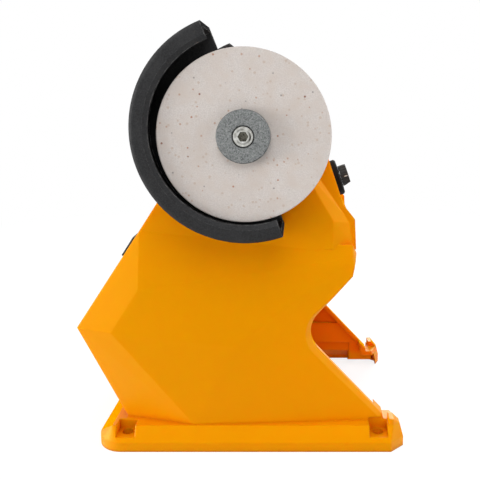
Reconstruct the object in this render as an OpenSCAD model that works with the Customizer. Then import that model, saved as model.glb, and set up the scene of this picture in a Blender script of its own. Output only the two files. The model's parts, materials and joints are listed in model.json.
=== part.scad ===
// Cordless mini bench grinder: two wheels on one motor spindle, in a faceted moulded stand.
// X runs from the rear of the stand to the speed knob, Y along the spindle, Z up.
// The origin is the middle of the four bench holes, on the bench.

/* [Grinding wheels] */
// Outer diameter of a wheel
wheel_d = 75; // [70:0.5:76]
// Width of a wheel
wheel_w = 20; // [16:0.5:20]
// Diameter of the spindle and of the wheel's bore
spindle_d = 10; // [9.5:0.1:10]
// From the middle of the stand to a wheel's inner face
wheel_in = 46.2; // [46.2:0.1:47]
// Spindle's place along X
axis_x = -1; // [-2:0.5:0]
// Spindle's height above the bench
axis_z = 151.9; // [151.5:0.1:153]
// Diameter of the clamping washer
washer_d = 23; // [20:0.2:26]
// Thickness of the clamping washer
washer_t = 4.2; // [4:0.1:5]

/* [Guards] */
// Outer radius of a guard
guard_r = 48.7; // [48:0.1:51]
// Inner radius of the guard's front lip
guard_lip_r = 40.6; // [40.2:0.1:42]
// Wall thickness of a guard
guard_t = 2.5; // [2:0.1:3]
// Width of the bevel round the lip's inner edge
lip_bevel = 2.1; // [1:0.1:3]
// Guard's centre along X and Z
guard_at = [-0.7, 154.4]; // [-4:0.1:160]
// Angle at which the guard starts, counted from the front
guard_from = 111.3; // [105:0.1:118]
// Angle that the guard covers
guard_sweep = 178.3; // [165:0.1:185]
// From the middle of the stand to the guard's mounting plate
guard_in = 41; // [41:0.1:41.4]
// Depth of a guard from plate to lip
guard_deep = 29.5; // [29.2:0.1:31]

/* [Housing corners: place along X, half width, height] */
// Rear ridge
rear_ridge = [-84.1, 45.8, 58.8]; // [-100:0.1:120]
// Rear corner at the foot
rear_foot = [-62.4, 41.3, 11]; // [-100:0.1:120]
// Widest side corner at the foot
side_foot = [-28.1, 49.8, 11]; // [-100:0.1:120]
// Middle of the side at the foot
mid_foot = [15.7, 48, 11]; // [-100:0.1:120]
// Front corner at the foot
front_foot = [64.1, 45, 11]; // [-100:0.1:120]
// Rear waist, where the two rear corner facets meet the side
rear_waist = [-66.9, 49.3, 57.3]; // [-100:0.1:120]
// Middle of the side, where its three facets meet
side_waist = [-8.6, 49, 50.3]; // [-100:0.1:120]
// Rear end of the shoulder edge
shoulder_rear = [-53.9, 47.1, 77.8]; // [-100:0.1:120]
// Front end of the shoulder edge
shoulder_front = [48.2, 41.4, 91.7]; // [-100:0.1:120]
// Rear end of the crease between shoulder and neck
neck_rear = [-53.8, 41, 105.1]; // [-100:0.1:120]
// Front end of the crease between shoulder and neck
neck_front = [48.4, 40, 97.8]; // [-100:0.1:120]
// Front of the chin
chin = [50.4, 37, 93.4]; // [-100:0.1:120]

/* [Housing shell] */
// Wall thickness of the shell
wall = 2.5; // [2:0.1:3]
// Half width of the neck's raised motor pads
pad_half = 41; // [40.5:0.1:41]
// Half width of the neck beside the pads
neck_half = 37; // [36:0.5:38]
// Outer radius of the motor barrel
barrel_r = 28; // [27:0.5:29]
// Place of the brow, where the chin turns into the knob's slope
brow = [44.1, 116.7]; // [30:0.1:130]
// Steepness of the knob's slope
slope_angle = 71.5; // [68:0.5:76]
// Height of the chin's upright front
chin_top = 109.7; // [106:0.1:114]
// Sharp point of the notch, along X and Z
notch_at = [23.6, 56.2]; // [10:0.1:70]
// Radius of the notch's round bottom
notch_r = 12.5; // [8:0.5:14]
// Angle between the notch's two edges
notch_angle = 94; // [90:1:98]
// Half width of the free space for the battery pack
bay_half = 36; // [35:0.5:37]
// Underside of the deck over the battery bay
deck_z = 68; // [66:0.5:70]

/* [Base] */
// Rear end of the skirt
skirt_rear = -75.7; // [-77:0.1:-74]
// Front end of the skirt
skirt_front = 73.3; // [72:0.1:75]
// Half width of the skirt
skirt_half = 54.7; // [54:0.1:56]
// Height of the skirt
skirt_h = 11.4; // [11:0.1:12.5]
// Height of the skirt's upright lower band
band_h = 4.7; // [4:0.1:5.5]
// Rear end, half width and front end of the skirt's top
skirt_top = [-67.6, 50.9, 71.5]; // [-70:0.1:73]
// Distance between bench holes along X
hole_gap_x = 122; // [120:0.2:125]
// Distance between bench holes along Y
hole_gap_y = 95; // [94:0.2:96]
// Diameter of a bench hole
bench_hole_d = 5.4; // [4.5:0.1:5.6]
// Width of the pocket round a bench hole
pocket_w = 9.1; // [8:0.1:10]
// Height of the pocket's floor
pocket_z = 6.6; // [6:0.1:7]

/* [Speed knob] */
// Diameter of the dial ring
dial_d = 19.2; // [18:0.1:20]
// Thickness of the dial ring
dial_t = 3.4; // [3:0.1:4]
// Diameter of the grip
grip_d = 11.2; // [10:0.1:12]
// Height of the grip above the dial ring
grip_h = 4.4; // [4:0.1:5]
// Height of the knob's axis on the slope
knob_z = 125; // [122:0.5:128]
// Number of flutes round the grip
flutes = 20; // [12:1:28]

/* [Motor] */
// Outer radius of the motor can
can_r = 22; // [21:0.1:22]
// Half length of the motor can
can_half = 30; // [29:0.5:30]
// Outer radius of a ball bearing
bearing_r = 13; // [12:0.1:13]
// Width of a ball bearing
bearing_w = 8; // [7:0.1:8]
// Radius of the armature
armature_r = 15.2; // [14:0.1:15.5]
// Number of armature slots
armature_slots = 7; // [5:2:9]

/* [Rear grille] */
// Width of the grille along Y
grille_w = 81; // [70:1:82]
// Height of the grille along the rear slope
grille_h = 10.6; // [9:0.1:12]
// Height of the grille's middle above the bench
grille_z = 97; // [94:0.5:98]
// Number of slots
grille_slots = 15; // [9:2:17]

/* [Hidden] */
$fn = 64;

amber = [0.92, 0.57, 0.02];
charcoal = [0.2, 0.2, 0.21];
steel = [0.7, 0.71, 0.72];
zinc = [0.52, 0.53, 0.52];
stone = [0.84, 0.81, 0.78];
copper = [0.72, 0.4, 0.2];

// Overshoot that keeps cuts clear of the faces they pass through
cut = 1;
// Clearance between pieces that are assembled together
gap = 0.1;
spindle_r = spindle_d / 2;
wheel_out = wheel_in + wheel_w;
bearing_out = can_half + bearing_w;
lower_corners = [rear_ridge, rear_foot, side_foot, mid_foot, front_foot, rear_waist, side_waist,
                 shoulder_rear, shoulder_front, neck_rear, neck_front, chin];

// Rear slope, from the ridge to the crease of the neck
rear_run = [neck_rear.x - rear_ridge.x, neck_rear.z - rear_ridge.z];
rear_angle = atan2(rear_run.y, rear_run.x);
rear_slope_long = 45.5;
barrel_foot = [neck_rear.x, neck_rear.z] + rear_slope_long * [cos(rear_angle), sin(rear_angle)];

// Knob slope, from the brow up to where the barrel takes over
slope_up = [-cos(slope_angle), sin(slope_angle)];
slope_out = [sin(slope_angle), cos(slope_angle)];
slope_long = 43;
slope_top = brow + slope_long * slope_up;
knob_at = brow + (knob_z - brow.y) / slope_up.y * slope_up;

// Side view of the neck, and of the same neck one wall further in; both start inside the lower body
neck_low = 95;
hollow_low = 90;
neck_profile = [[-43, neck_low], [neck_rear.x, neck_rear.z], barrel_foot, [2, 169.4], [22, 167.2],
                slope_top, brow, [chin.x - 0.8, chin_top], [chin.x - 0.1, neck_low]];
neck_inner = [[-38, hollow_low], [neck_rear.x + 1.5 * wall, neck_rear.z],
              barrel_foot + [wall + 0.6, 0], [2, 159.4], slope_top - 8 * slope_up - wall * slope_out,
              brow - wall * slope_out, [chin.x - 0.8 - wall, chin_top - wall],
              [chin.x - wall, hollow_low]];

// Raised pad that carries the guard: its face, then the foot of its sloping front edge
pad_x = 38.8;
pad_front = [[23.4, 136.5], [30, 124], [pad_x, chin_top], [pad_x, neck_low + 1]];
pad_foot = [[26.5, 139.5], [32.5, 127.1], [47.9, 108], [chin.x - 0.6, neck_low + 1]];
pad_rear = [[-43, neck_low], [neck_rear.x, neck_rear.z], barrel_foot, [2, 150.5]];
pad_corners = concat([for (p = concat(pad_rear, pad_front)) [p.x, pad_half, p.y]],
                     [for (p = pad_foot) [p.x, neck_half - 0.5, p.y]]);
pad_inner = [[-38, hollow_low], [neck_rear.x + 1.5 * wall, neck_rear.z],
             barrel_foot + [wall + 0.6, 0], [2, 145.5], [23.4 - wall, 134.5], [30 - wall, 122.3],
             [pad_x - wall, chin_top - 1], [pad_x - wall, hollow_low]];

// Screws that join the two halves: places along X and Z, and the depth of their head seats
screw_spots = [[-72.5, 54], [-50, 86], [40.5, 103], [26, 135.8], [-27.5, 129.5]];
screw_seat = 12;
screw_reach = 12;
boss_r = 4.8;

// Screws that hold a guard: angle round the guard's centre
guard_screw_r = 24;
guard_screw_angles = [150, 198, 256];
guard_boss_y = 34;
// Thickness of a guard's mounting plate
plate_t = 2;
// Depth of the counterbore in the clamping washer
washer_seat = 3;

// Ribs that hold the motor can, and the posts under the control board
rib_in = 24;
rib_t = 3;
deck_t = 2.5;
board_z = deck_z + 7;
rib_low = 115;
board_posts = [[-28, 12], [6, 12]];
board_size = [42, 32, 1.6];
board_x = -11;

// Inward return along the notch, and the rail below it
return_in = bay_half + 4.7;
return_w = 2.3;
rail_in = bay_half + 6;
rail_low = 14.8;
rail_high = 27.7;

// Panel set back between the cheeks of the chin, and the cheeks' slanting lower front edge
panel_in = 43;
panel_out = 45.5;
cheek_edge = [[50.6, 93.5], [47.7, 79], [90, 79], [90, 93.5]];

// Raised nose of each foot, in front of its bench hole
nose_low = skirt_h - 1;
nose = [[66, nose_low], [66, 14.5], [68.2, 14.5], [71.3, skirt_h], [71.3, nose_low]];
nose_in = 44;

// Plan of the corner clipped off the inner front of each foot
foot_clip = [[66.9, -bay_half + 2], [skirt_front + 0.2, -48.4], [90, -48.4], [90, -bay_half + 2]];

grille_along = (grille_z - rear_ridge.z) / sin(rear_angle);
grille_at = [rear_ridge.x, rear_ridge.z] + grille_along * [cos(rear_angle), sin(rear_angle)];
grille_deep = 3;
grille_rim = 1.2;

// Corner of the hollow, one wall inside an outer corner; the feet reach down into the skirt's hollow
function inner_corner(c) =
    [c.x - sign(c.x) * 1.2 * wall, c.y - wall, c.z < skirt_h ? skirt_h - wall - 0.3 : c.z];

// Draws a side view: x along X, y up, z outward from the middle of the stand
module side_view(side = "near") {
    mirror([0, side == "far" ? 1 : 0, 0])
        rotate([90, 0, 0])
            children();
}

// Inside a side view, goes back to the plan: outward is then towards -y
module plan_view() {
    rotate([-90, 0, 0])
        children();
}

module on_spindle(side = "near") {
    side_view(side)
        translate([axis_x, axis_z, 0])
            children();
}

// Frame of the knob: z out of the slope, x across it along Y
module on_knob(out = 0) {
    translate([knob_at.x, 0, knob_at.y])
        rotate([0, slope_angle, 0])
            translate([0, 0, out])
                children();
}

module ring(r_out, r_in, h) {
    difference() {
        cylinder(r = r_out, h = h);
        translate([0, 0, -cut])
            cylinder(r = r_in, h = h + 2 * cut);
    }
}

// Convex half body through corners that each give x, half width and height
module facet_half(corners, back = 0) {
    points = [for (c = corners) each [[c.x, c.z, c.y], [c.x, c.z, back]]];
    hull()
        polyhedron(points = points, faces = [[for (i = [0 : len(points) - 1]) i]]);
}

// Side view of the notch above the skirt, opened all round by grow
module notch_outline(grow = 0) {
    reach = 110;
    half = notch_angle / 2;
    r = notch_r + grow;
    middle = notch_at + [notch_r / sin(half), 0];
    along = reach * [cos(half), sin(half)];
    touch = r * [-sin(half), cos(half)];
    intersection() {
        union() {
            translate(middle)
                circle(r = r);
            polygon([middle + touch, middle + touch + along,
                     middle + [touch.x + along.x, -touch.y - along.y],
                     middle + [touch.x, -touch.y]]);
        }
        translate([-reach, skirt_h])
            square(3 * reach);
    }
}

// Half plan of the base, with a round rear corner and a clipped front corner
module base_plan(inset = 0) {
    r = 13 - inset;
    clip = [6.7, 6] - 0.6 * [inset, inset];
    x0 = skirt_rear + inset;
    x1 = skirt_front - inset;
    w = skirt_half - inset;
    polygon([[x0, cut], [x0, r - w], [x0 + r, -w], [x1 - clip.x, -w], [x1, clip.y - w], [x1, cut]]);
    translate([x0 + r, r - w])
        circle(r = r);
}

// Half plan of the skirt's top
module top_plan(inset = 0) {
    clip = [3.5, 3];
    x1 = skirt_top[2] - inset;
    w = skirt_top[1] - inset;
    polygon([[skirt_top[0] + inset, cut], [skirt_top[0] + inset, -w], [x1 - clip.x, -w],
             [x1, clip.y - w], [x1, cut]]);
}

// Skirt with an upright band and sloping sides, brought in all round and from above by inset
module skirt(inset = 0) {
    slice = 0.01;
    band = band_h - inset;
    linear_extrude(band)
        base_plan(inset);
    hull() {
        translate([0, 0, band - slice])
            linear_extrude(slice)
                base_plan(inset);
        translate([0, 0, skirt_h - inset - slice])
            linear_extrude(slice)
                top_plan(inset);
    }
}

// Pockets round the bench holes, open to the side, grown all round by grow
module pockets(from_z, to_z, grow = 0) {
    back = bench_hole_d / 2 + 0.2 + grow;
    w = pocket_w + 2 * grow;
    for (x = [-1, 1] * hole_gap_x / 2)
        translate([x - w / 2, back - hole_gap_y / 2 - 30, from_z])
            cube([w, 30, to_z - from_z]);
}

// Walls and floors of the pockets; each floor stands on the bench and rises towards the bay
module pocket_blocks() {
    floor_in = hole_gap_y / 2 - bench_hole_d / 2 - 0.2 - wall;
    floor_out = hole_gap_y / 2 + bench_hole_d / 2 - 0.2;
    rise = 0.45 * (floor_out - floor_in);
    w = pocket_w + 2 * wall;
    plan_view()
        pockets(pocket_z - 0.5, skirt_h + 2 * wall, wall);
    for (x = [-1, 1] * hole_gap_x / 2)
        translate([x + w / 2, 0, 0])
            rotate([0, -90, 0])
                linear_extrude(w)
                    polygon([[floor_in, pocket_z], [floor_in, rise], [floor_out, 0], [floor_out, -cut],
                             [skirt_half, -cut], [skirt_half, pocket_z]]);
}

module housing_outside() {
    chamfer = 1.5;
    facet_half(lower_corners);
    linear_extrude(neck_half)
        polygon(neck_profile);
    facet_half(pad_corners);
    translate([axis_x, axis_z, 0]) {
        cylinder(r = barrel_r, h = pad_half - chamfer);
        translate([0, 0, pad_half - chamfer])
            cylinder(r1 = barrel_r, r2 = barrel_r - chamfer, h = chamfer);
    }
    intersection() {
        plan_view()
            skirt();
        translate([-100, 0, 0])
            cube([200, 50, 100]);
    }
}

module foot_nose() {
    intersection() {
        translate([0, 0, nose_in])
            linear_extrude(skirt_half)
                polygon(nose);
        plan_view()
            linear_extrude(2 * skirt_h)
                top_plan();
    }
}

module housing_inside() {
    facet_half([for (c = lower_corners) inner_corner(c)], -cut);
    translate([0, 0, -cut]) {
        linear_extrude(neck_half - wall + cut)
            polygon(neck_inner);
        linear_extrude(pad_half - wall + cut)
            polygon(pad_inner);
        translate([axis_x, axis_z, 0])
            cylinder(r = barrel_r - wall, h = pad_half - wall + cut);
    }
    plan_view() {
        skirt(wall);
        translate([0, 0, -cut])
            linear_extrude(2 * cut)
                base_plan(wall);
    }
}

// What stays standing inside the shell: deck, returns, rails, chin panel, bosses, ribs and posts
module housing_webs() {
    long = 200;
    deep = 70;
    translate([-long / 2, deck_z, -2 * cut])
        cube([long, deck_t, deep]);
    translate([0, 0, return_in])
        linear_extrude(deep)
            notch_outline(return_w);
    intersection() {
        translate([0, 0, -2 * cut])
            linear_extrude(deep)
                notch_outline(wall);
        translate([-long / 2, deck_z, -2 * cut])
            cube([long, deep, deep]);
    }
    translate([-long / 4, rail_low, rail_in])
        cube([long, rail_high - rail_low, deep]);
    translate([panel_in, deck_z, -2 * cut])
        cube([long, deep, deep]);
    pocket_blocks();
    for (s = screw_spots)
        translate([s.x, s.y, -2 * cut])
            cylinder(r = boss_r, h = deep);
    guard_screw_places()
        translate([0, 0, guard_boss_y])
            cylinder(r = 3.6, h = 10);
    difference() {
        translate([-long / 2, rib_low, rib_in])
            cube([long, long / 2, rib_t]);
        translate([axis_x, axis_z, 0])
            cylinder(r = can_r + gap, h = deep);
    }
    for (p = board_posts)
        translate([p.x, deck_z, p.y])
            rotate([-90, 0, 0])
                cylinder(r = 2.5, h = board_z - deck_z);
}

module guard_screw_places() {
    for (a = guard_screw_angles)
        translate([guard_at.x + guard_screw_r * cos(a), guard_at.y + guard_screw_r * sin(a), 0])
            children();
}

// Notch, with its edge sloping inward from the side wall, and the free space between the cheeks
module notch_cut() {
    edge = 43.3;
    rise = 10;
    spread = 11;
    translate([0, 0, -cut])
        linear_extrude(80) {
            notch_outline();
            polygon(cheek_edge);
        }
    translate([panel_out, deck_z, -cut])
        cube([40, 60, neck_half - wall + cut]);
    hull() {
        translate([0, 0, edge])
            linear_extrude(0.01)
                notch_outline();
        translate([0, 0, edge + rise])
            linear_extrude(0.01)
                notch_outline(spread);
    }
}

module housing_holes(side) {
    translate([35, -cut, -cut])
        cube([60, deck_z, bay_half + cut]);
    plan_view() {
        pockets(pocket_z, skirt_h + cut);
        for (x = [-1, 1] * hole_gap_x / 2)
            translate([x, -hole_gap_y / 2, -cut])
                cylinder(d = bench_hole_d, h = pocket_z + 2 * cut);
        translate([0, 0, -cut])
            linear_extrude(skirt_h + 2 * cut)
                polygon(foot_clip);
    }
    for (s = screw_spots)
        translate([s.x, s.y, 0])
            if (side == "near") {
                translate([0, 0, -cut])
                    cylinder(r = 1.6, h = screw_reach + 2 + cut);
            } else {
                translate([0, 0, -cut])
                    cylinder(r = 1.8, h = screw_seat + 2 * cut);
                translate([0, 0, screw_seat])
                    cylinder(r = 3.2, h = 50);
            }
    translate([axis_x, axis_z, pad_half - 2 * wall])
        cylinder(r = 9, h = 20);
    guard_screw_places()
        translate([0, 0, guard_boss_y + 1])
            cylinder(r = 1.6, h = 20);
    translate([knob_at.x, knob_at.y, 0])
        rotate([0, 90, 90 - slope_angle])
            translate([0, 0, -8])
                cylinder(r = 3.6, h = 12);
    translate([grille_at.x, grille_at.y, -cut])
        rotate(rear_angle)
            translate([-grille_h / 2 + grille_rim, -8, 0])
                cube([grille_h - 2 * grille_rim, 12, grille_w / 2 - grille_rim + cut]);
}

module housing(side) {
    color(amber)
        side_view(side) {
            difference() {
                housing_outside();
                difference() {
                    housing_inside();
                    housing_webs();
                }
                notch_cut();
                housing_holes(side);
            }
            foot_nose();
        }
}

// Pan-head screw along z: head above 0, shank below
module pan_screw(r, reach, head_r, head_h) {
    translate([0, 0, -reach])
        cylinder(r = r, h = reach);
    difference() {
        cylinder(r = head_r, h = head_h);
        for (a = [0, 90])
            rotate(a)
                translate([-0.7 * head_r, -0.35, head_h / 2])
                    cube([1.4 * head_r, 0.7, head_h]);
    }
}

module housing_screws() {
    color(steel)
        side_view("far")
            for (s = screw_spots)
                translate([s.x, s.y, screw_seat])
                    pan_screw(1.5, screw_seat + screw_reach, 2.8, 2.2);
}

module guard(side) {
    color(charcoal)
        side_view(side)
            difference() {
                translate([guard_at.x, guard_at.y, guard_in])
                    rotate(guard_from)
                        rotate_extrude(angle = guard_sweep, $fn = 128)
                            guard_section();
                guard_screw_places()
                    translate([0, 0, guard_in - cut])
                        cylinder(r = 1.7, h = plate_t + 2 * cut);
            }
}

// Channel section of a guard: mounting plate, rim with a round outer corner, and bevelled front lip
module guard_section() {
    corner = 2.2;
    plate_r = 14;
    translate([plate_r, 0])
        square([guard_r - plate_r, plate_t]);
    translate([guard_r - guard_t, 0])
        square([guard_t, guard_deep - corner]);
    polygon([[guard_lip_r, guard_deep - guard_t], [guard_r, guard_deep - guard_t],
             [guard_r, guard_deep - corner], [guard_r - corner, guard_deep],
             [guard_lip_r + lip_bevel, guard_deep], [guard_lip_r, guard_deep - 0.6 * lip_bevel]]);
    translate([guard_r - corner, guard_deep - corner])
        circle(r = corner);
}

module guard_screws(side) {
    color(steel)
        side_view(side)
            guard_screw_places()
                translate([0, 0, guard_in + plate_t])
                    pan_screw(1.5, 7, 2.8, 1.5);
}

module rear_grille() {
    pitch = (grille_w - 8) / grille_slots;
    color(charcoal)
        side_view()
            translate([grille_at.x, grille_at.y, 0])
                rotate(rear_angle)
                    difference() {
                        union() {
                            translate([-grille_h / 2, 0, -grille_w / 2])
                                cube([grille_h, 1, grille_w]);
                            translate([-grille_h / 2 + grille_rim + gap, -grille_deep,
                                       -grille_w / 2 + grille_rim + gap])
                                cube([grille_h - 2 * (grille_rim + gap), grille_deep + cut / 2,
                                      grille_w - 2 * (grille_rim + gap)]);
                        }
                        for (i = [0 : grille_slots - 1])
                            translate([-grille_h / 2 + 2.4, -grille_deep - cut,
                                       (i - (grille_slots - 1) / 2) * pitch - pitch / 4])
                                cube([grille_h - 4.8, grille_deep + 3 * cut, pitch / 2]);
                    }
}

module motor_can() {
    color(zinc)
        on_spindle()
            translate([0, 0, -can_half])
                ring(can_r, can_r - 1.5, 2 * can_half);
}

module motor_magnets() {
    arc = 130;
    half = 20;
    thick = 4;
    color(charcoal)
        on_spindle()
            for (a = [0, 180])
                translate([0, 0, -half])
                    rotate(a - arc / 2)
                        rotate_extrude(angle = arc)
                            translate([can_r - 1.5 - gap - thick, 0])
                                square([thick, 2 * half]);
}

// End bell of the motor, with the bearing's seat open to the wheel
module motor_end(side) {
    flange_t = 3;
    spigot = 3;
    color(zinc)
        on_spindle(side)
            difference() {
                union() {
                    translate([0, 0, can_half])
                        cylinder(r = can_r, h = flange_t);
                    translate([0, 0, can_half])
                        cylinder(r = bearing_r + 3, h = bearing_w);
                    translate([0, 0, can_half - spigot])
                        cylinder(r = can_r - 1.5 - gap, h = spigot);
                }
                translate([0, 0, can_half])
                    cylinder(r = bearing_r + 0.02, h = bearing_w + cut);
                translate([0, 0, can_half - spigot - cut])
                    cylinder(r = 9, h = spigot + 2 * cut);
            }
}

module brush_holders() {
    color(charcoal)
        on_spindle("far")
            for (a = [90, 270])
                rotate(a)
                    translate([9, -4, 23])
                        difference() {
                            cube([9, 8, 4]);
                            translate([-cut, 1.4, 0.9])
                                cube([9 + 2 * cut, 5.2, 2.2]);
                        }
}

module brushes() {
    color([0.15, 0.15, 0.15])
        on_spindle("far")
            for (a = [90, 270])
                rotate(a)
                    translate([8.1, -2.5, 24])
                        cube([7, 5, 2]);
}

module bearing_outer(side) {
    color(steel)
        on_spindle(side)
            translate([0, 0, can_half])
                ring(bearing_r, bearing_r - 2.4, bearing_w);
}

module bearing_inner(side) {
    color(steel)
        on_spindle(side)
            translate([0, 0, can_half])
                ring(spindle_r + 2.4, spindle_r + 0.02, bearing_w);
}

module motor_shaft() {
    end = wheel_out - 0.7;
    tap_deep = 14;
    color(steel)
        on_spindle()
            difference() {
                union() {
                    translate([0, 0, -end])
                        cylinder(r = spindle_r, h = 2 * end);
                    translate([0, 0, -can_half])
                        cylinder(r = spindle_r + 1, h = 2 * can_half);
                }
                for (z = [-end - cut, end - tap_deep])
                    translate([0, 0, z])
                        cylinder(r = 2.5, h = tap_deep + cut);
            }
}

module armature_core() {
    half = 18;
    color(zinc)
        on_spindle()
            translate([0, 0, -half])
                difference() {
                    ring(armature_r, spindle_r + 1 + 0.02, 2 * half);
                    for (i = [0 : armature_slots - 1])
                        rotate(i * 360 / armature_slots) {
                            translate([9, -1.6, -cut])
                                cube([4.5, 3.2, 2 * half + 2 * cut]);
                            translate([9, -0.7, -cut])
                                cube([10, 1.4, 2 * half + 2 * cut]);
                        }
                }
}

module armature_windings() {
    half = 18;
    color(copper)
        on_spindle()
            for (z = [-half - 4.4, half])
                translate([0, 0, z])
                    rotate_extrude() {
                        translate([spindle_r + 1.2, 0])
                            square([5.6, 4.4]);
                        translate([spindle_r + 6.6, 2.2])
                            circle(r = 2.2);
                    }
}

module commutator() {
    bars = 7;
    color(copper)
        on_spindle("far")
            translate([0, 0, 23.4])
                difference() {
                    ring(8, spindle_r + 1 + 0.02, 3.6);
                    for (i = [0 : bars - 1])
                        rotate(i * 360 / bars)
                            translate([7.3, -0.25, -cut])
                                cube([2, 0.5, 3.6 + 2 * cut]);
                }
}

module motor_fan() {
    blades = 9;
    color(charcoal)
        on_spindle()
            translate([0, 0, 23.2]) {
                ring(14, spindle_r + 1 + 0.02, 1.2);
                for (i = [0 : blades - 1])
                    rotate(i * 360 / blades)
                        translate([8, -0.5, 1])
                            cube([5.5, 1, 2.6]);
            }
}

module inner_flange(side) {
    face_t = 2.4;
    color(zinc)
        on_spindle(side) {
            translate([0, 0, bearing_out])
                ring(7.8, spindle_r + 0.02, wheel_in - bearing_out - face_t);
            translate([0, 0, wheel_in - face_t])
                ring(washer_d / 2, spindle_r + 0.02, face_t);
        }
}

module wheel(side) {
    edge = 0.4;
    r = wheel_d / 2;
    color(stone)
        on_spindle(side)
            translate([0, 0, wheel_in])
                rotate_extrude($fn = 128)
                    polygon([[spindle_r + 0.05, 0], [r - edge, 0], [r, edge], [r, wheel_w - edge],
                             [r - edge, wheel_w], [spindle_r + 0.05, wheel_w]]);
}

module washer(side) {
    edge = 0.4;
    floor_z = washer_t - washer_seat;
    r = washer_d / 2;
    color(zinc)
        on_spindle(side)
            translate([0, 0, wheel_out])
                rotate_extrude()
                    polygon([[2.7, 0], [r, 0], [r, washer_t - edge], [r - edge, washer_t],
                             [4.6, washer_t], [4.6, floor_z], [2.7, floor_z]]);
}

// Low socket-head screw that draws the washer on to the wheel
module wheel_screw(side) {
    head_h = 3.2;
    color(steel)
        on_spindle(side)
            translate([0, 0, wheel_out + washer_t - washer_seat])
                difference() {
                    union() {
                        translate([0, 0, -12])
                            cylinder(r = 2.4, h = 12 + cut);
                        cylinder(r = 4.25, h = head_h - 0.4);
                        cylinder(r1 = 4.25, r2 = 3.9, h = head_h);
                    }
                    translate([0, 0, 1])
                        cylinder(r = 2.31, h = head_h, $fn = 6);
                }
}

// Rotary control behind the slope, with its bushing through the wall
module speed_control() {
    color(charcoal)
        on_knob(-wall) {
            translate([0, 0, -9])
                ring(8, 3.1, 9);
            ring(3.5, 3.1, wall + 2);
        }
}

module control_nut() {
    color(steel)
        on_knob()
            difference() {
                cylinder(r = 5.2, h = 1.8, $fn = 6);
                translate([0, 0, -cut])
                    cylinder(r = 3.55, h = 4);
            }
}

module dial_ring() {
    bevel = 0.8;
    color(charcoal)
        on_knob()
            rotate_extrude()
                polygon([[5.6, 0], [dial_d / 2, 0], [dial_d / 2, dial_t - bevel],
                         [dial_d / 2 - bevel, dial_t], [5.6, dial_t]]);
}

module control_shaft() {
    color(steel)
        on_knob(-wall - 8)
            cylinder(r = 3.04, h = wall + 8 + dial_t + 2.4);
}

// Fluted grip with a slanted thumb flat on its lower side
module speed_knob() {
    base = dial_t + 0.3;
    top = dial_t + grip_h;
    color(charcoal)
        on_knob()
            difference() {
                translate([0, 0, base])
                    cylinder(d = grip_d, h = top - base);
                translate([0, 0, base - cut])
                    cylinder(r = 3.05, h = cut + 2.1);
                translate([grip_d / 2, 0, base])
                    rotate([0, -22, 0])
                        translate([0, -grip_d, -cut])
                            cube([grip_d, 2 * grip_d, 3 * grip_h]);
                for (i = [0 : flutes - 1])
                    rotate(i * 360 / flutes)
                        translate([grip_d / 2 + 0.35, 0, base + 0.5])
                            cylinder(r = 0.6, h = 2 * grip_h);
            }
}

module control_board() {
    color([0.1, 0.35, 0.18])
        translate([board_x - board_size.x / 2, -board_size.y / 2, board_z])
            cube(board_size);
}

// Capacitor, power transistor on its heat sink, and two connectors
module board_parts() {
    top = board_z + board_size.z;
    color(charcoal)
        translate([board_x, 0, top]) {
            translate([13, 8, 0])
                cylinder(r = 5, h = 14);
            translate([-17, -11, 0])
                cube([3, 22, 14]);
            for (y = [-9 : 6 : 9])
                translate([-14.5, y - 0.75, 0])
                    cube([7, 1.5, 14]);
            for (y = [-12, -4])
                translate([8, y, 0])
                    cube([10, 6, 6]);
        }
}

// Plate under the deck with the two rails that a battery pack slides on to
module battery_dock() {
    dock = [70, 62, 3];
    rail = [58, 3, 9];
    color(charcoal)
        translate([-50, 0, deck_z]) {
            translate([0, -dock.y / 2, -dock.z])
                cube(dock);
            for (side = [-1, 1]) {
                translate([0, side * 27 - rail.y / 2, -dock.z - rail.z])
                    cube(rail + [0, 0, 0.5]);
                translate([0, side * 25 - 3.5, -dock.z - rail.z])
                    cube([rail.x, 7, 2.5]);
            }
        }
}

module terminal_block() {
    color(charcoal)
        translate([-48, -18, deck_z - 12])
            difference() {
                cube([14, 36, 9]);
                for (i = [0 : 4])
                    translate([4, 4.5 + 6.5 * i, -cut])
                        cube([14, 1, 8]);
            }
}

module battery_terminals() {
    color(copper)
        for (i = [0 : 4])
            translate([-44, -18 + 4.6 + 6.5 * i, deck_z - 11])
                cube([18, 0.8, 5.5]);
}

housing("near");  // housing_near
housing("far");  // housing_far
housing_screws();
guard("near");  // guard_near
guard("far");  // guard_far
guard_screws("near");  // guard_screws_near
guard_screws("far");  // guard_screws_far
rear_grille();
motor_can();
motor_magnets();
motor_end("near");  // motor_end_near
motor_end("far");  // motor_end_far
brush_holders();
brushes();
bearing_outer("near");  // bearing_outer_near
bearing_outer("far");  // bearing_outer_far
speed_control();
control_nut();
dial_ring();
control_board();
board_parts();
battery_dock();
terminal_block();
battery_terminals();
motor_shaft();
armature_core();
armature_windings();
commutator();
motor_fan();
bearing_inner("near");  // bearing_inner_near
bearing_inner("far");  // bearing_inner_far
inner_flange("near");  // inner_flange_near
inner_flange("far");  // inner_flange_far
wheel("near");  // wheel_near
wheel("far");  // wheel_far
washer("near");  // washer_near
washer("far");  // washer_far
wheel_screw("near");  // wheel_screw_near
wheel_screw("far");  // wheel_screw_far
control_shaft();
speed_knob();
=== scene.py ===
"""Looks of a cordless mini bench grinder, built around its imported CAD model."""

import json
import math

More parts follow.
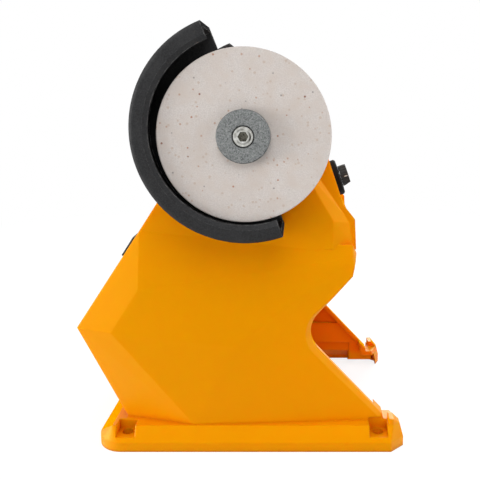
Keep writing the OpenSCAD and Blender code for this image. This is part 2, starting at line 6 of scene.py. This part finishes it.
import bmesh
import bpy
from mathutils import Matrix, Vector


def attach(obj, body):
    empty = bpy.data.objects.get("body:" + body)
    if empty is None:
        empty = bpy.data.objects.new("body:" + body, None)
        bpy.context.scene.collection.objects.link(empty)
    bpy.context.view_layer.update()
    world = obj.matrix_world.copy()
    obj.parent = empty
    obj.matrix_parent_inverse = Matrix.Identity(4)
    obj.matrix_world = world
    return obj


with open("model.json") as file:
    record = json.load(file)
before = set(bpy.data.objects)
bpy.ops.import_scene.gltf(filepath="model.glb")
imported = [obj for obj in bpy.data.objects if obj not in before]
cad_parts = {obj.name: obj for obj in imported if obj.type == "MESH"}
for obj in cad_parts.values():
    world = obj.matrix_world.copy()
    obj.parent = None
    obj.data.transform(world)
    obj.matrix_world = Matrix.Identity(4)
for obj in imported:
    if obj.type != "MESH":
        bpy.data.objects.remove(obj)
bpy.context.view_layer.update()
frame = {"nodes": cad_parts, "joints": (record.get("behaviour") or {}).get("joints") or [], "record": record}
nodes = frame["nodes"]
joints = {joint["name"]: joint for joint in frame["joints"]}

MM = 0.001

SPINDLE_AT = Vector(joints["spindle_spin"]["pos_m"])
KNOB_AT = Vector(joints["knob_turn"]["pos_m"])
KNOB_AXIS = Vector(joints["knob_turn"]["axis"])

# Camera, solved from the photograph: level sideways, looking slightly down at the near wheel
CAMERA_AT = Vector((22.5, -327.16, 168.4)) * MM
CAMERA_PITCH = 8.0
CAMERA_LENS = 45.914
CAMERA_SENSOR = 36.0
CAMERA_SHIFT = (-0.1229, -0.1187)

# Area lamps, all aimed at the middle of the part: name, place and size in metres, power in watts
MIDDLE = Vector((0.0, 0.0, 0.09))
LAMPS = (
    ("left_low", (-1.0, -0.25, 0.15), (0.6, 0.3), 8.6),
    ("left", (-0.9, -0.6, 0.5), (0.7, 0.7), 2.4),
    ("top", (0.0, -0.1, 1.2), (0.8, 0.8), 4.1),
    ("front", (0.0, -0.9, 0.9), (0.8, 0.8), 5.6),
    ("right", (1.0, -0.2, 0.4), (0.6, 0.6), 5.2),
    ("back", (0.3, 1.0, 0.35), (1.0, 0.6), 12.0),
)
# The back lamp shines through the thin walls and leaves hardly a highlight
HIGHLIGHTS = {"back": 0.1}
WORLD_LIGHT = 0.03

# Floor: what the camera sees near the part and far from it, as its own glow and as lit paper
FLOOR_HALF = 6.0
FLOOR_NEAR, FLOOR_FAR = 0.16, 0.6
FLOOR_GLOW = (0.84, 1.0)
FLOOR_SHADE = (0.24, 0.0)
FLOOR_PAPER = 0.8

# Heights over which the housing's painted shade and painted glow fade: foot and roof of the bay, and clear
# of the floor
BAY_FOOT = (7 * MM, 10 * MM)
BAY_ROOF = (75 * MM, 85 * MM)
CLEAR_OF_FLOOR = (40 * MM, 80 * MM)
# A wall's normal times its distance from the middle plane: negative on walls that face the plane
BAY_FACING = (-20 * MM, -10 * MM)
# How far off other faces still count for the housing's painted shade, as a whole and in its creases
SHELTER_REACH = 40 * MM
CREASE_REACH = 5 * MM

# Washer's recess for the screw, by radius: inside it the washer is painted dark as shade
RECESS = (4.6 * MM, 5.0 * MM)
# Wheel screw: depth of its socket, along the spindle, over which it is painted darker as shade, and radii of
# the groove in its head
SOCKET = (69.2 * MM, 70.4 * MM)
GROOVE_INNER, GROOVE_OUTER, GROOVE_FADE = 2.7 * MM, 3.5 * MM, 0.25 * MM

# Pointer line on the knob: levels along its axis, radii, half width
POINTER_LOW, POINTER_HIGH = 5.5 * MM, 7.2 * MM
POINTER_ROOT, POINTER_CREST = 5.2 * MM, 5.62 * MM
POINTER_HALF = 0.36 * MM
POINTER_END = 0.25 * MM
POINTER_TAPER = 0.25
POINTER_STEPS = 6


def linear(red, green, blue):
    """Linear colour of an sRGB colour given in 0 to 255."""
    values = []
    for channel in (red, green, blue):
        c = channel / 255
        values.append(c / 12.92 if c <= 0.04045 else ((c + 0.055) / 1.055) ** 2.4)
    return (*values, 1.0)


AMBER = linear(235, 151, 0)
AMBER_SHADE = linear(234, 150, 0)
# Painted light on the housing: redder shade where faces stand close, a red glow on the bay walls, darker
# creases
AMBER_PAINTED_SHADE = linear(255, 145, 0)
AMBER_PAINTED_BAY_GLOW = linear(255, 118, 0)
AMBER_PAINTED_CREASE_SHADE = linear(216, 112, 0)
# Sheen of the pigmented plastic, seen straight on
AMBER_SHEEN = (1.0, 0.5, 0.02, 1.0)
CHARCOAL = linear(44, 44, 45)


class Finish:
    """A material under construction: a Principled shader and the nodes that feed it."""

    def __init__(self, name, color, roughness, metallic=0.0, specular=0.5):
        self.material = bpy.data.materials.new(name)
        self.material.use_nodes = True
        self.material.diffuse_color = color
        self.tree = self.material.node_tree
        self.shader = self.tree.nodes["Principled BSDF"]
        self.set("Base Color", color)
        self.set("Roughness", roughness)
        self.set("Metallic", metallic)
        self.set("Specular IOR Level", specular)
        coordinates = self.node("ShaderNodeTexCoord")
        self.place = coordinates.outputs["Object"]
        self.rounded = None

    def node(self, kind, **settings):
        made = self.tree.nodes.new(kind)
        for key, value in settings.items():
            setattr(made, key, value)
        return made

    def link(self, output, target):
        self.tree.links.new(output, target)

    def set(self, socket, value):
        self.shader.inputs[socket].default_value = value

    def noise(self, scale, detail=2.0, roughness=0.5, place=None):
        made = self.node("ShaderNodeTexNoise")
        made.inputs["Scale"].default_value = scale
        made.inputs["Detail"].default_value = detail
        made.inputs["Roughness"].default_value = roughness
        self.link(place or self.place, made.inputs["Vector"])
        return made.outputs["Fac"]

    def cells(self, scale):
        made = self.node("ShaderNodeTexVoronoi")
        made.inputs["Scale"].default_value = scale
        self.link(self.place, made.inputs["Vector"])
        return made

    def flecks(self, scale, limit):
        """Sparse specks: 1 in cells whose chance is above limit, and distance from their middle."""
        made = self.cells(scale)
        chance = self.node("ShaderNodeSeparateColor")
        self.link(made.outputs["Color"], chance.inputs["Color"])
        chosen = self.math("GREATER_THAN", chance.outputs["Red"], limit)
        return chosen, made.outputs["Distance"]

    def spread(self, value, low, high, to_low=0.0, to_high=1.0):
        """Value from low to high, stretched to run from to_low to to_high."""
        made = self.node("ShaderNodeMapRange")
        self.link(value, made.inputs["Value"])
        names = ("From Min", "From Max", "To Min", "To Max")
        for key, number in zip(names, (low, high, to_low, to_high)):
            made.inputs[key].default_value = number
        return made.outputs["Result"]

    def math(self, operation, first, second):
        made = self.node("ShaderNodeMath", operation=operation)
        for socket, value in zip(made.inputs, (first, second)):
            if isinstance(value, (int, float)):
                socket.default_value = value
            else:
                self.link(value, socket)
        return made.outputs[0]

    def product(self, first, *others):
        for other in others:
            first = self.math("MULTIPLY", first, other)
        return first

    def mix(self, factor, first, second):
        made = self.node("ShaderNodeMix", data_type="RGBA")
        self.link(factor, made.inputs["Factor"])
        for name, value in (("A", first), ("B", second)):
            socket = [s for s in made.inputs if s.name == name and s.type == "RGBA"][0]
            if isinstance(value, tuple):
                socket.default_value = value
            else:
                self.link(value, socket)
        return [s for s in made.outputs if s.type == "RGBA"][0]

    def along(self, axis):
        """Position of a point along one axis of the frame."""
        made = self.node("ShaderNodeSeparateXYZ")
        self.link(self.place, made.inputs[0])
        return made.outputs[axis]

    def radius(self):
        """Distance of a point from the spindle's axis."""
        moved = self.node("ShaderNodeVectorMath", operation="SUBTRACT")
        self.link(self.place, moved.inputs[0])
        moved.inputs[1].default_value = SPINDLE_AT
        flat = self.node("ShaderNodeVectorMath", operation="MULTIPLY")
        self.link(moved.outputs[0], flat.inputs[0])
        flat.inputs[1].default_value = (1, 0, 1)
        length = self.node("ShaderNodeVectorMath", operation="LENGTH")
        self.link(flat.outputs[0], length.inputs[0])
        return length.outputs["Value"]

    def rings(self, scale, detail=3.0):
        """Noise that only changes with the distance from the spindle's axis: turning marks."""
        joined = self.node("ShaderNodeCombineXYZ")
        self.link(self.radius(), joined.inputs["X"])
        return self.noise(scale, detail, 0.6, joined.outputs["Vector"])

    def true_normal(self):
        return self.node("ShaderNodeNewGeometry").outputs["True Normal"]

    def soften(self, radius):
        """Edges of the solid catch light as if they were rounded by radius, in metres."""
        made = self.node("ShaderNodeBevel", samples=6)
        made.inputs["Radius"].default_value = radius
        self.rounded = made.outputs["Normal"]

    def edges(self, low, high):
        """0 on flat faces, 1 at the edges that soften() has rounded."""
        turned = self.node("ShaderNodeVectorMath", operation="DOT_PRODUCT")
        self.link(self.rounded, turned.inputs[0])
        self.link(self.true_normal(), turned.inputs[1])
        return self.spread(turned.outputs["Value"], high, low)

    def sheltered(self, reach):
        """1 where other surfaces stand close by, within reach in metres, 0 in the open."""
        made = self.node("ShaderNodeAmbientOcclusion", samples=4)
        made.inputs["Distance"].default_value = reach
        return self.math("SUBTRACT", 1.0, made.outputs["AO"])

    def inward(self):
        """1 on the walls of the battery bay, which face the stand's middle plane, 0 elsewhere."""
        normal = self.node("ShaderNodeSeparateXYZ")
        self.link(self.true_normal(), normal.inputs[0])
        away = self.math("MULTIPLY", normal.outputs["Y"], self.along("Y"))
        facing = self.spread(away, *BAY_FACING, 1.0, 0.0)
        under_roof = self.spread(self.along("Z"), *BAY_ROOF, 1.0, 0.0)
        over_foot = self.spread(self.along("Z"), *BAY_FOOT, 0.4, 1.0)
        return self.product(facing, under_roof, over_foot)

    def color(self, output):
        self.link(output, self.shader.inputs["Base Color"])

    def colored(self):
        """The output that color() has linked last."""
        return self.shader.inputs["Base Color"].links[0].from_socket

    def rough(self, value, low, high):
        self.link(self.spread(value, 0.3, 0.7, low, high), self.shader.inputs["Roughness"])

    def dull_when_grazed(self, specular):
        """A grain hides the mirror-like sheen that smooth faces get at a glancing angle."""
        facing = self.node("ShaderNodeLayerWeight").outputs["Facing"]
        level = self.spread(facing, 0.5, 0.8, specular, 0.0)
        self.link(level, self.shader.inputs["Specular IOR Level"])

    def bump(self, height, depth):
        """Bump whose height runs over depth, in metres."""
        made = self.node("ShaderNodeBump")
        if self.rounded:
            self.link(self.rounded, made.inputs["Normal"])
        made.inputs["Strength"].default_value = 1.0
        made.inputs["Distance"].default_value = depth
        self.link(height, made.inputs["Height"])
        self.link(made.outputs["Normal"], self.shader.inputs["Normal"])


def moulded(name, color, shade, roughness, grain=0.02, specular=0.5, edge=0.3):
    """Moulded plastic: slow colour drift, fine grain, and gloss that varies a little."""
    made = Finish(name, color, roughness, specular=specular)
    made.soften(edge * MM)
    drift = made.spread(made.noise(28.0, 3.0), 0.35, 0.65)
    made.color(made.mix(drift, shade, color))
    texture = made.noise(2600.0, 3.0, 0.6)
    made.rough(made.noise(90.0, 4.0), roughness - 0.02, roughness + 0.03)
    made.bump(texture, grain * MM)
    return made


def amber_plastic():
    """Amber moulded plastic with painted light: redder shade where near faces stand close, a red glow on the
    bay walls, darker creases.
    """
    made = moulded("housing_plastic", AMBER, AMBER_SHADE, 0.42, edge=1.1)
    made.set("Specular Tint", AMBER_SHEEN)
    made.dull_when_grazed(0.5)
    # Painted shade: the colour turns redder where other faces stand close by, standing in for light thrown
    # between amber faces
    # Near the ground it is the white floor that stands close by, which doesn't redden
    above_floor = made.spread(made.along("Z"), *CLEAR_OF_FLOOR)
    shelter = made.spread(made.sheltered(SHELTER_REACH), 0.1, 0.45)
    body = made.mix(made.product(shelter, above_floor), made.colored(), AMBER_PAINTED_SHADE)
    # Painted glow: the walls of the battery bay are painted redder, standing in for light that bounces in
    # the bay and shines through its walls
    body = made.mix(made.inward(), body, AMBER_PAINTED_BAY_GLOW)
    # Painted shade: darker amber in creases, where other faces stand within a few millimetres
    crease = made.spread(made.sheltered(CREASE_REACH), 0.25, 0.7)
    made.color(made.mix(crease, body, AMBER_PAINTED_CREASE_SHADE))
    # Light that passes through the thin walls comes out redder
    made.set("Subsurface Weight", 0.35)
    made.set("Subsurface Radius", (1.0, 0.15, 0.02))
    made.set("Subsurface Scale", 6 * MM)
    return made


def abrasive():
    """White fused grit: pale grains in a slightly darker bond, with sparse brown specks."""
    made = Finish("wheel_abrasive", linear(214, 207, 202), 0.9, specular=0.15)
    grains = made.cells(1700.0)
    tone = made.spread(grains.outputs["Distance"], 0.15, 0.75)
    body = made.mix(tone, linear(217, 210, 205), linear(204, 196, 191))
    cloud = made.spread(made.noise(120.0, 4.0, 0.6), 0.4, 0.68)
    body = made.mix(cloud, body, linear(207, 196, 188))
    for scale, limit, size, speck in (
        (760.0, 0.950, 0.32, linear(198, 182, 170)),
        (680.0, 0.970, 0.24, linear(190, 162, 146)),
        (520.0, 0.980, 0.18, linear(178, 136, 116)),
        (360.0, 0.988, 0.13, linear(144, 106, 90)),
        (600.0, 0.985, 0.18, linear(160, 152, 148)),
    ):
        chosen, distance = made.flecks(scale, limit)
        core = made.spread(distance, size, 1.7 * size, 1.0, 0.0)
        body = made.mix(made.product(chosen, core), body, speck)
    made.color(body)
    made.bump(tone, 0.06 * MM)
    return made


def metal(name, color, shade, roughness):
    """Plated or sintered metal with faint handling marks."""
    made = Finish(name, color, roughness, metallic=1.0)
    marks = made.noise(240.0, 5.0, 0.65)
    made.color(made.mix(made.spread(marks, 0.35, 0.7), color, shade))
    made.rough(made.noise(520.0, 4.0), roughness - 0.05, roughness + 0.1)
    made.bump(made.noise(3000.0, 2.0), 0.01 * MM)
    return made


def grained():
    """Charcoal guard plastic: a leathery grain, pale edges that are partly wear and partly a painted
    highlight, and a few dust specks.
    """
    made = Finish("guard_plastic", CHARCOAL, 0.6, specular=0.14)
    made.soften(0.9 * MM)
    grain = made.noise(1500.0, 3.0, 0.65)
    tone = made.mix(made.spread(grain, 0.35, 0.7), linear(34, 34, 35), linear(50, 50, 51))
    patches = made.spread(made.noise(90.0, 4.0), 0.45, 0.7, 0.0, 0.5)
    tone = made.mix(patches, tone, linear(54, 54, 55))
    # Pale edges: partly wear, partly a painted highlight where the rounded edges catch light
    rubbed = made.spread(made.noise(500.0, 3.0), 0.35, 0.65)
    wear_and_highlight = made.product(made.edges(0.8, 0.985), rubbed)
    tone = made.mix(wear_and_highlight, tone, linear(128, 128, 127))
    chosen, distance = made.flecks(300.0, 0.985)
    core = made.math("LESS_THAN", distance, 0.11)
    made.color(made.mix(made.product(chosen, core), tone, linear(120, 120, 118)))
    made.rough(made.noise(420.0, 4.0), 0.5, 0.68)
    made.dull_when_grazed(0.14)
    made.bump(grain, 0.06 * MM)
    return made


def granular():
    """Zinc-grey washer face: bright and dark grains, and painted shade in the recess for the screw."""
    made = Finish("washer_metal", linear(118, 120, 120), 0.55, metallic=1.0)
    grain = made.spread(made.noise(1700.0, 4.0, 0.8), 0.35, 0.65)
    body = made.mix(grain, linear(52, 55, 56), linear(150, 152, 151))
    marks = made.spread(made.rings(2200.0), 0.3, 0.7, 0.0, 0.25)
    body = made.mix(marks, body, linear(96, 98, 98))
    # Painted shade: the washer is dark inside the recess round the screw
    outside = made.spread(made.radius(), *RECESS)
    made.color(made.mix(outside, linear(30, 30, 30), body))
    made.rough(grain, 0.45, 0.68)
    made.bump(grain, 0.08 * MM)
    return made


def socket_steel():
    """Bright screw head with a patchy groove, and a socket painted darker the deeper it goes, as shade."""
    made = Finish("socket_steel", linear(206, 206, 202), 0.25, metallic=1.0)
    marks = made.spread(made.noise(700.0, 4.0, 0.7), 0.35, 0.65)
    rim = made.mix(marks, linear(222, 222, 218), linear(150, 149, 142))
    socket_painted_shade = made.mix(marks, linear(48, 46, 40), linear(112, 110, 100))
    reach = made.radius()
    inner = made.spread(reach, GROOVE_INNER - GROOVE_FADE, GROOVE_INNER + GROOVE_FADE)
    outer = made.spread(reach, GROOVE_OUTER - GROOVE_FADE, GROOVE_OUTER + GROOVE_FADE, 1.0, 0.0)
    patchy = made.spread(made.noise(190.0, 2.0), 0.38, 0.56)
    rim = made.mix(made.product(inner, outer, patchy), rim, linear(52, 51, 47))
    # Painted shade: the socket turns darker the deeper it goes along the spindle
    outward = made.math("ABSOLUTE", made.along("Y"), 0.0)
    made.color(made.mix(made.spread(outward, *SOCKET), socket_painted_shade, rim))
    made.rough(marks, 0.18, 0.4)
    made.bump(marks, 0.03 * MM)
    return made


def flat_board():
    """Circuit board: green mask over paler tracks."""
    made = Finish("circuit_board", linear(20, 82, 46), 0.35)
    tracks = made.cells(260.0)
    tracks.distance = "CHEBYCHEV"
    edge = made.math("GREATER_THAN", tracks.outputs["Distance"], 0.46)
    made.color(made.mix(edge, linear(18, 76, 42), linear(44, 118, 70)))
    made.bump(tracks.outputs["Distance"], 0.03 * MM)
    return made


def dark_plastic(name, color, shade, roughness=0.5, grain=0.03, specular=0.5):
    """Black or charcoal moulded plastic, from two grey sRGB colours."""
    return moulded(name, linear(*color), linear(*shade), roughness, grain, specular)


def finish_nodes():
    """Each CAD node takes the finish of its slot, or one of its own."""
    finishes = {
        "housing_plastic": amber_plastic(),
        "guard_plastic": grained(),
        "knob_plastic": dark_plastic("knob_plastic", (34, 35, 35), (26, 27, 27), specular=0.3),
        "wheel_abrasive": abrasive(),
        "washer_metal": granular(),
        "steel": metal("steel", linear(214, 214, 212), linear(190, 190, 190), 0.24),
        "motor_steel": metal("motor_steel", linear(176, 178, 178), linear(150, 152, 152), 0.38),
        "magnet": metal("magnet", linear(64, 64, 66), linear(50, 50, 52), 0.6),
        "copper": metal("copper", linear(196, 120, 76), linear(168, 96, 58), 0.32),
        "carbon": dark_plastic("carbon", (34, 34, 36), (26, 26, 28), 0.7, 0.04),
        "inner_plastic": dark_plastic("inner_plastic", (40, 40, 42), (34, 34, 36)),
        "circuit_board": flat_board(),
    }
    screw_steel = socket_steel()
    dial_plastic = dark_plastic("dial_plastic", (20, 18, 18), (15, 14, 14))
    dial_plastic.dull_when_grazed(0.08)
    own_finish = {
        "wheel_screw_near": screw_steel,
        "wheel_screw_far": screw_steel,
        "dial_ring": dial_plastic,
    }
    for part in frame["record"]["subparts"]:
        finish = own_finish.get(part["node"], finishes[part["material_slot"]])
        nodes[part["node"]].data.materials.clear()
        nodes[part["node"]].data.materials.append(finish.material)


def add_pointer():
    """White pointer line: a rounded bar that fills the outer end of one flute of the knob."""
    along = KNOB_AXIS.normalized()
    across = Vector((0, 1, 0)).cross(along)
    outward = Vector((0, -1, 0))
    angles = [math.pi * i / POINTER_STEPS for i in range(POINTER_STEPS + 1)]
    arch = [(POINTER_HALF * math.cos(angle), math.sin(angle)) for angle in angles]
    rows = (
        (POINTER_LOW, POINTER_TAPER),
        (POINTER_LOW + POINTER_END, 0.0),
        (POINTER_HIGH - POINTER_END, 0.0),
        (POINTER_HIGH, POINTER_TAPER),
    )
    points = []
    for level, taper in rows:
        for side, bulge in arch:
            out = POINTER_ROOT + (POINTER_CREST - POINTER_ROOT) * bulge * (1 - taper)
            points.append(KNOB_AT + along * level + across * side * (1 - taper) + outward * out)
    count = len(arch)
    last = (len(rows) - 1) * count
    faces = []
    for first in range(0, last, count):
        second = first + count
        for i in range(count):
            j = (i + 1) % count
            faces.append((first + i, first + j, second + j, second + i))
    faces.append(tuple(reversed(range(count))))
    faces.append(tuple(range(last, last + count)))
    mesh = bpy.data.meshes.new("knob_pointer")
    mesh.from_pydata(points, [], faces)
    edit = bmesh.new()
    edit.from_mesh(mesh)
    bmesh.ops.recalc_face_normals(edit, faces=edit.faces)
    edit.to_mesh(mesh)
    edit.free()
    white = moulded("pointer_white", linear(210, 210, 207), linear(188, 188, 185), 0.5)
    mesh.materials.append(white.material)
    pointer = bpy.data.objects.new("knob_pointer", mesh)
    bpy.context.scene.collection.objects.link(pointer)
    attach(pointer, "knob")


def seen_directly(tree):
    """1 for camera, glossy and transmission rays, 0 for the rays that light surfaces."""
    path = tree.nodes.new("ShaderNodeLightPath")
    total = path.outputs["Is Camera Ray"]
    for name in ("Is Glossy Ray", "Is Transmission Ray"):
        either = tree.nodes.new("ShaderNodeMath")
        either.operation = "MAXIMUM"
        tree.links.new(total, either.inputs[0])
        tree.links.new(path.outputs[name], either.inputs[1])
        total = either.outputs[0]
    return total


def add_floor():
    """White floor: seen as its own white with a faint shadow, and as paper by the light."""
    mesh = bpy.data.meshes.new("floor")
    half = FLOOR_HALF
    corners = [(-half, -half, 0), (half, -half, 0), (half, half, 0), (-half, half, 0)]
    mesh.from_pydata(corners, [], [(0, 1, 2, 3)])
    floor = bpy.data.objects.new("floor", mesh)
    bpy.context.scene.collection.objects.link(floor)
    material = bpy.data.materials.new("floor_white")
    material.use_nodes = True
    tree = material.node_tree
    tree.nodes.clear()
    link = tree.links.new
    place = tree.nodes.new("ShaderNodeTexCoord")
    away = tree.nodes.new("ShaderNodeVectorMath")
    away.operation = "LENGTH"
    link(place.outputs["Object"], away.inputs[0])
    levels = []
    for near, far in (FLOOR_GLOW, FLOOR_SHADE):
        level = tree.nodes.new("ShaderNodeMapRange")
        link(away.outputs["Value"], level.inputs["Value"])
        ends = {"From Min": FLOOR_NEAR, "From Max": FLOOR_FAR, "To Min": near, "To Max": far}
        for key, number in ends.items():
            level.inputs[key].default_value = number
        levels.append(level.outputs["Result"])
    glow = tree.nodes.new("ShaderNodeEmission")
    link(levels[0], glow.inputs["Strength"])
    shade = tree.nodes.new("ShaderNodeBsdfDiffuse")
    link(levels[1], shade.inputs["Color"])
    seen = tree.nodes.new("ShaderNodeAddShader")
    link(glow.outputs[0], seen.inputs[0])
    link(shade.outputs[0], seen.inputs[1])
    paper = tree.nodes.new("ShaderNodeBsdfDiffuse")
    paper.inputs["Color"].default_value = (FLOOR_PAPER, FLOOR_PAPER, FLOOR_PAPER, 1)
    blend = tree.nodes.new("ShaderNodeMixShader")
    link(seen_directly(tree), blend.inputs["Fac"])
    link(paper.outputs[0], blend.inputs[1])
    link(seen.outputs[0], blend.inputs[2])
    output = tree.nodes.new("ShaderNodeOutputMaterial")
    link(blend.outputs[0], output.inputs["Surface"])
    mesh.materials.append(material)


def set_world():
    """Even studio surround: white to the camera and in reflections, softer as a light."""
    world = bpy.data.worlds.new("studio")
    bpy.context.scene.world = world
    world.use_nodes = True
    tree = world.node_tree
    background = tree.nodes["Background"]
    background.inputs["Color"].default_value = (1, 1, 1, 1)
    level = tree.nodes.new("ShaderNodeMapRange")
    tree.links.new(seen_directly(tree), level.inputs["Value"])
    level.inputs["To Min"].default_value = WORLD_LIGHT
    level.inputs["To Max"].default_value = 1.0
    tree.links.new(level.outputs["Result"], background.inputs["Strength"])


def add_lamps():
    """Soft rectangular lamps round the part."""
    for name, place, size, power in LAMPS:
        lamp = bpy.data.lights.new(name, "AREA")
        lamp.shape = "RECTANGLE"
        lamp.size, lamp.size_y = size
        lamp.energy = power
        lamp.specular_factor = HIGHLIGHTS.get(name, 1.0)
        made = bpy.data.objects.new(name, lamp)
        made.location = place
        aim = MIDDLE - Vector(place)
        made.rotation_euler = aim.to_track_quat("-Z", "Y").to_euler()
        bpy.context.scene.collection.objects.link(made)


def add_camera():
    """Camera at the photograph's viewpoint, with its framing kept by the shift."""
    data = bpy.data.cameras.new("camera")
    data.lens = CAMERA_LENS
    data.sensor_width = CAMERA_SENSOR
    data.shift_x, data.shift_y = CAMERA_SHIFT
    data.clip_start = 0.01
    made = bpy.data.objects.new("camera", data)
    made.location = CAMERA_AT
    made.rotation_euler = (math.radians(90 - CAMERA_PITCH), 0, 0)
    bpy.context.scene.collection.objects.link(made)
    bpy.context.scene.camera = made


finish_nodes()
add_pointer()
add_floor()
set_world()
add_lamps()
add_camera()
bpy.context.scene.view_settings.view_transform = "Standard"
